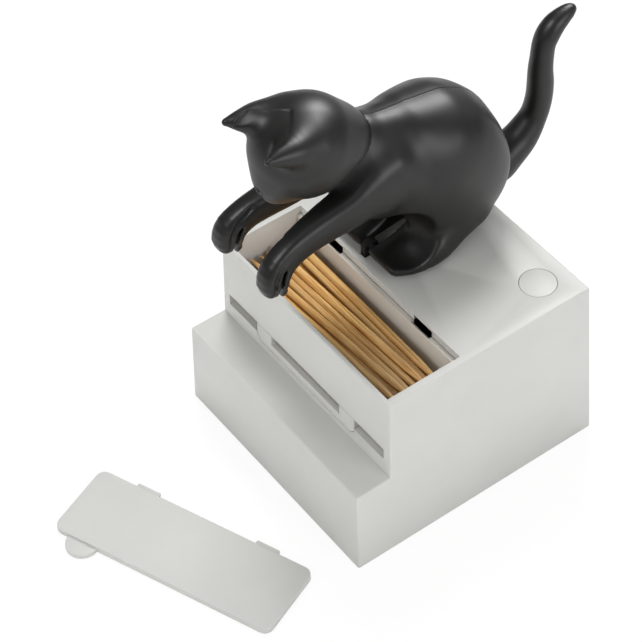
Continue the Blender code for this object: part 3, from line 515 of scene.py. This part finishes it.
tail_rows = smooth_rows([
    (60.93, 4.4, 3.6), (63.73, 4.5, 3.95), (66.54, 4.75, 4.4), (69.71, 6.21, 5.35), (73.48, 8.6, 5.19),
    (77.14, 10.72, 4.77), (79.76, 13.24, 4.31), (82.05, 16.46, 3.75), (83.34, 19.84, 3.63),
    (83.98, 23.57, 3.58), (84.12, 27.5, 3.54), (84.03, 31.41, 3.33), (84.34, 35.81, 3.14),
    (84.86, 39.7, 3.12), (86.0, 42.26, 3.19), (87.97, 44.47, 3.01), (90.48, 45.82, 2.55),
    (92.91, 46.63, 1.94), (94.43, 46.86, 1.12), (94.83, 46.9, 0.5)])
path = np.stack([np.zeros(len(tail_rows)), tail_rows[:, 0], tail_rows[:, 1]], 1)
corners, faces = swept_bar(path, tail_rows[:, 2])
put("cat_tail_skin", in_place(corners), faces, black_abs, "black_cat", "cat", "cat_tail")

# Toothpicks: birch, turned round and pointed at both ends, 2.06 mm thick. Each has its own tint
# of one wood, whose grain runs along the bin, and they lie loose in the bin.
birch = bpy.data.materials.new("turned_birch")
birch.use_nodes = True
shader = birch.node_tree.nodes["Principled BSDF"]
shader.inputs["Roughness"].default_value = 0.6
place = add_node(birch, "ShaderNodeTexCoord").outputs["Object"]
drawn = add_node(birch, "ShaderNodeMapping", {"Vector": place, "Scale": (60, 2200, 2200)})
grain = add_node(birch, "ShaderNodeTexNoise", {
    "Vector": drawn.outputs["Vector"], "Scale": 1.0, "Detail": 4.0})
ramp = add_node(birch, "ShaderNodeValToRGB", {"Fac": grain.outputs["Fac"]})
ramp.color_ramp.elements[0].position = 0.3
ramp.color_ramp.elements[0].color = linear("#BC8038")
ramp.color_ramp.elements[1].position = 0.7
ramp.color_ramp.elements[1].color = linear("#F6D08A")
tint = add_node(birch, "ShaderNodeAttribute", attribute_name="tint")
tone = add_node(birch, "ShaderNodeMapRange", {"Value": tint.outputs["Fac"], "To Min": 0.7, "To Max": 1.15})
tinted = add_node(birch, "ShaderNodeVectorMath", {0: ramp.outputs["Color"]}, operation="SCALE")
birch.node_tree.links.new(tone.outputs["Result"], tinted.inputs["Scale"])
birch.node_tree.links.new(tinted.outputs["Vector"], shader.inputs["Base Color"])


def turned_pick(start, end, radius, sides=16):
    """A round pick between two points: rings whose radius follows the square root of a ramp from
    each blunt tip to the full radius, and stays there between the tips."""
    share = np.array([0, 0, 0.012, 0.03, 0.06, 0.1, 0.15, 0.5, 0.85, 0.9, 0.94, 0.97, 0.988, 1, 1])
    ramp = np.clip(np.minimum(share, 1 - share) / 0.14, 0, 1)
    radii = radius * (0.36 + 0.64 * ramp ** 0.75)
    closed_tip = 0.00002
    radii[[0, -1]] = closed_tip
    path = np.array(start)[None] + share[:, None] * (np.array(end) - np.array(start))[None]
    slope = (path[-1] - path[0]) / np.linalg.norm(path[-1] - path[0])
    side = np.cross(slope, (0, 0, 1))
    side /= np.linalg.norm(side)
    up = np.cross(side, slope)
    angle = 2 * np.pi * np.arange(sides) / sides
    around = side * np.cos(angle)[:, None] + up * np.sin(angle)[:, None]
    rings = path[:, None] + radii[:, None, None] * around
    row, turn = np.meshgrid(np.arange(len(path) - 1), np.arange(sides), indexing="ij")
    after = (turn + 1) % sides
    faces = np.stack([row * sides + turn, row * sides + after, (row + 1) * sides + after,
                      (row + 1) * sides + turn], -1).reshape(-1, 4)
    return rings.reshape(-1, 3), faces[:, ::-1]


# The upper picks lie in a fan over those under them: the Y of the left end and of the right end,
# the height of each, in millimetres, and the tint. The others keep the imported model's places.
fan = [
    (-24.3, -23.7, 44.8, 43.2, 0.1), (-23.3, -20.5, 43.0, 43.1, 0.0), (-22.5, -19.6, 45.7, 45.0, 0.5),
    (-21.4, -17.5, 43.9, 44.1, 0.3), (-20.3, -16.4, 45.7, 45.9, 0.85), (-17.2, -14.8, 45.0, 44.6, 0.55),
    (-15.1, -12.7, 44.7, 44.9, 0.6), (-13.3, -11.1, 45.8, 46.4, 1.0), (-10.3, -10.4, 43.3, 43.0, 0.2),
    (-9.2, -9.6, 45.1, 44.9, 0.45), (-7.3, -7.9, 46.1, 46.1, 0.65)]
half_length_mm = 32.3
radius = 0.00103
chance = np.random.default_rng(11)
names = sorted(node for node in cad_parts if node.startswith("toothpick"))
for number, name in enumerate(names):
    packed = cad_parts[name]
    places = np.array([packed.matrix_world @ v.co for v in packed.data.vertices])
    left = places[places[:, 0] < places[:, 0].min() + 0.0001].mean(0)
    right = places[places[:, 0] > places[:, 0].max() - 0.0001].mean(0)
    tone = chance.uniform()
    if number >= len(names) - len(fan):
        left_y, right_y, left_z, right_z, tone = fan[number - len(names) + len(fan)]
        shift = chance.uniform(-0.5, 0.5)
        left = np.array([shift - half_length_mm, left_y, left_z]) / 1000
        right = np.array([shift + half_length_mm, right_y, right_z]) / 1000
    corners, faces = turned_pick(left, right, radius)
    piece = put(name + "_turned", corners, faces, birch, "birch", "box", name)
    tint = piece.data.attributes.new("tint", "FLOAT", "POINT")
    tint.data.foreach_set("value", np.full(len(corners), tone, np.float32))

# Works under the deck: the base plate and the spring cup in a mid grey ABS, the bracket in black,
# the lever in natural acetal, and screws, spring, axle, pins and lift rod in drawn steel.
base_abs = moulded_plastic("moulded_abs_mid_grey", "#B2B1AC", "#ABAAA5", 0.5)
bracket_abs = moulded_plastic("moulded_abs_black_bracket", "#1C1C1B", "#20201F", 0.45)
acetal = moulded_plastic("moulded_acetal_natural", "#E4E2DA", "#DDDBD2", 0.4)
steel = bpy.data.materials.new("drawn_steel")
steel.use_nodes = True
shader = steel.node_tree.nodes["Principled BSDF"]
shader.inputs["Metallic"].default_value = 1.0
shader.inputs["Base Color"].default_value = linear("#B9BABC")
place = add_node(steel, "ShaderNodeTexCoord").outputs["Object"]
drawn = add_node(steel, "ShaderNodeMapping", {"Vector": place, "Scale": (3000, 3000, 200)})
lines = add_node(steel, "ShaderNodeTexNoise", {
    "Vector": drawn.outputs["Vector"], "Scale": 1.0, "Detail": 3.0})
satin = add_node(steel, "ShaderNodeMapRange", {"Value": lines.outputs["Fac"], "To Min": 0.22, "To Max": 0.38})
steel.node_tree.links.new(satin.outputs["Result"], shader.inputs["Roughness"])
spring = dressed("button_spring", steel, "box", 0)
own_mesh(spring)
finishes = {"base_plate": base_abs, "spring_cup": base_abs, "pivot_bracket": bracket_abs,
            "rocker_lever": acetal}
steel_names = ("base_screw", "bracket_screw", "rocker_axle", "lift_rod", "cat_pivot_pin")
for name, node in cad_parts.items():
    if name in finishes or name.startswith(steel_names):
        node.data.materials.clear()
        node.data.materials.append(finishes.get(name, steel))

# Floor: matt white paper 12 m wide, 0.1 mm under the box. The camera sees most of it as a glow, so
# that the background is white, and the rest as paper, which keeps the shadows.
floor_half = 6
floor_under = -0.0001
floor_mesh = bpy.data.meshes.new("floor")
floor_mesh.from_pydata([(-floor_half, -floor_half, floor_under), (floor_half, -floor_half, floor_under),
                        (floor_half, floor_half, floor_under), (-floor_half, floor_half, floor_under)],
                       [], [(0, 1, 2, 3)])
floor = bpy.data.objects.new("floor", floor_mesh)
bpy.context.scene.collection.objects.link(floor)
paper = bpy.data.materials.new("white_paper_backdrop")
paper.use_nodes = True
shader = paper.node_tree.nodes["Principled BSDF"]
shader.inputs["Base Color"].default_value = (0.9, 0.9, 0.9, 1)
shader.inputs["Roughness"].default_value = 0.9
glow_strength = 1.04
glow_share = 0.85
glow = add_node(paper, "ShaderNodeEmission", {"Strength": glow_strength})
seen = add_node(paper, "ShaderNodeLightPath")
share = add_node(paper, "ShaderNodeMath", {0: seen.outputs["Is Camera Ray"], 1: glow_share},
                 operation="MULTIPLY")
blend = add_node(paper, "ShaderNodeMixShader", {
    0: share.outputs[0], 1: shader.outputs[0], 2: glow.outputs[0]})
paper.node_tree.links.new(blend.outputs[0], paper.node_tree.nodes["Material Output"].inputs["Surface"])
floor_mesh.materials.append(paper)

# World and lamps: a white studio, dimmer where a glossy surface mirrors it, and five soft boxes.
# The key and the front box light the matt faces; the streak and brow boxes show only as
# highlights on the black plastic; the flank box does both for the right side.
world = bpy.data.worlds.new("studio")
world.use_nodes = True
bpy.context.scene.world = world
backdrop = world.node_tree.nodes["Background"]
backdrop.inputs["Color"].default_value = (1, 1, 1, 1)
matt_level = 0.42
gloss_level = 0.2
ray = add_node(world, "ShaderNodeLightPath")
dimmed = add_node(world, "ShaderNodeMapRange", {
    "Value": ray.outputs["Is Glossy Ray"], "To Min": matt_level, "To Max": gloss_level})
world.node_tree.links.new(dimmed.outputs["Result"], backdrop.inputs["Strength"])


def softbox(name, place, target, width, height, power):
    """A rectangular area lamp that faces a point."""
    lamp = bpy.data.lights.new(name, "AREA")
    lamp.shape = "RECTANGLE"
    lamp.size = width
    lamp.size_y = height
    lamp.energy = power
    made = bpy.data.objects.new(name, lamp)
    made.location = place
    made.rotation_euler = (Vector(target) - Vector(place)).to_track_quat("-Z", "Y").to_euler()
    bpy.context.scene.collection.objects.link(made)
    return made


box_middle = (0, 0.01, 0.09)
key_box = softbox("key_box", (-0.5, 0.3, 0.95), (0, 0, 0.05), 0.4, 0.4, 6.9)
key_box.visible_glossy = False
front_box = softbox("front_box", (0.15, -1.0, 0.5), (0, 0, 0.03), 0.9, 0.6, 4.0)
front_box.visible_glossy = False
streak_box = softbox("streak_box", (-0.26, 0.64, 0.8), box_middle, 0.42, 0.5, 11)
streak_box.visible_diffuse = False
brow_box = softbox("brow_box", (0.03, -0.5, 0.87), box_middle, 0.3, 0.3, 4)
brow_box.visible_diffuse = False
softbox("flank_box", (0.95, 0.26, 0.42), box_middle, 0.6, 0.45, 3.8)
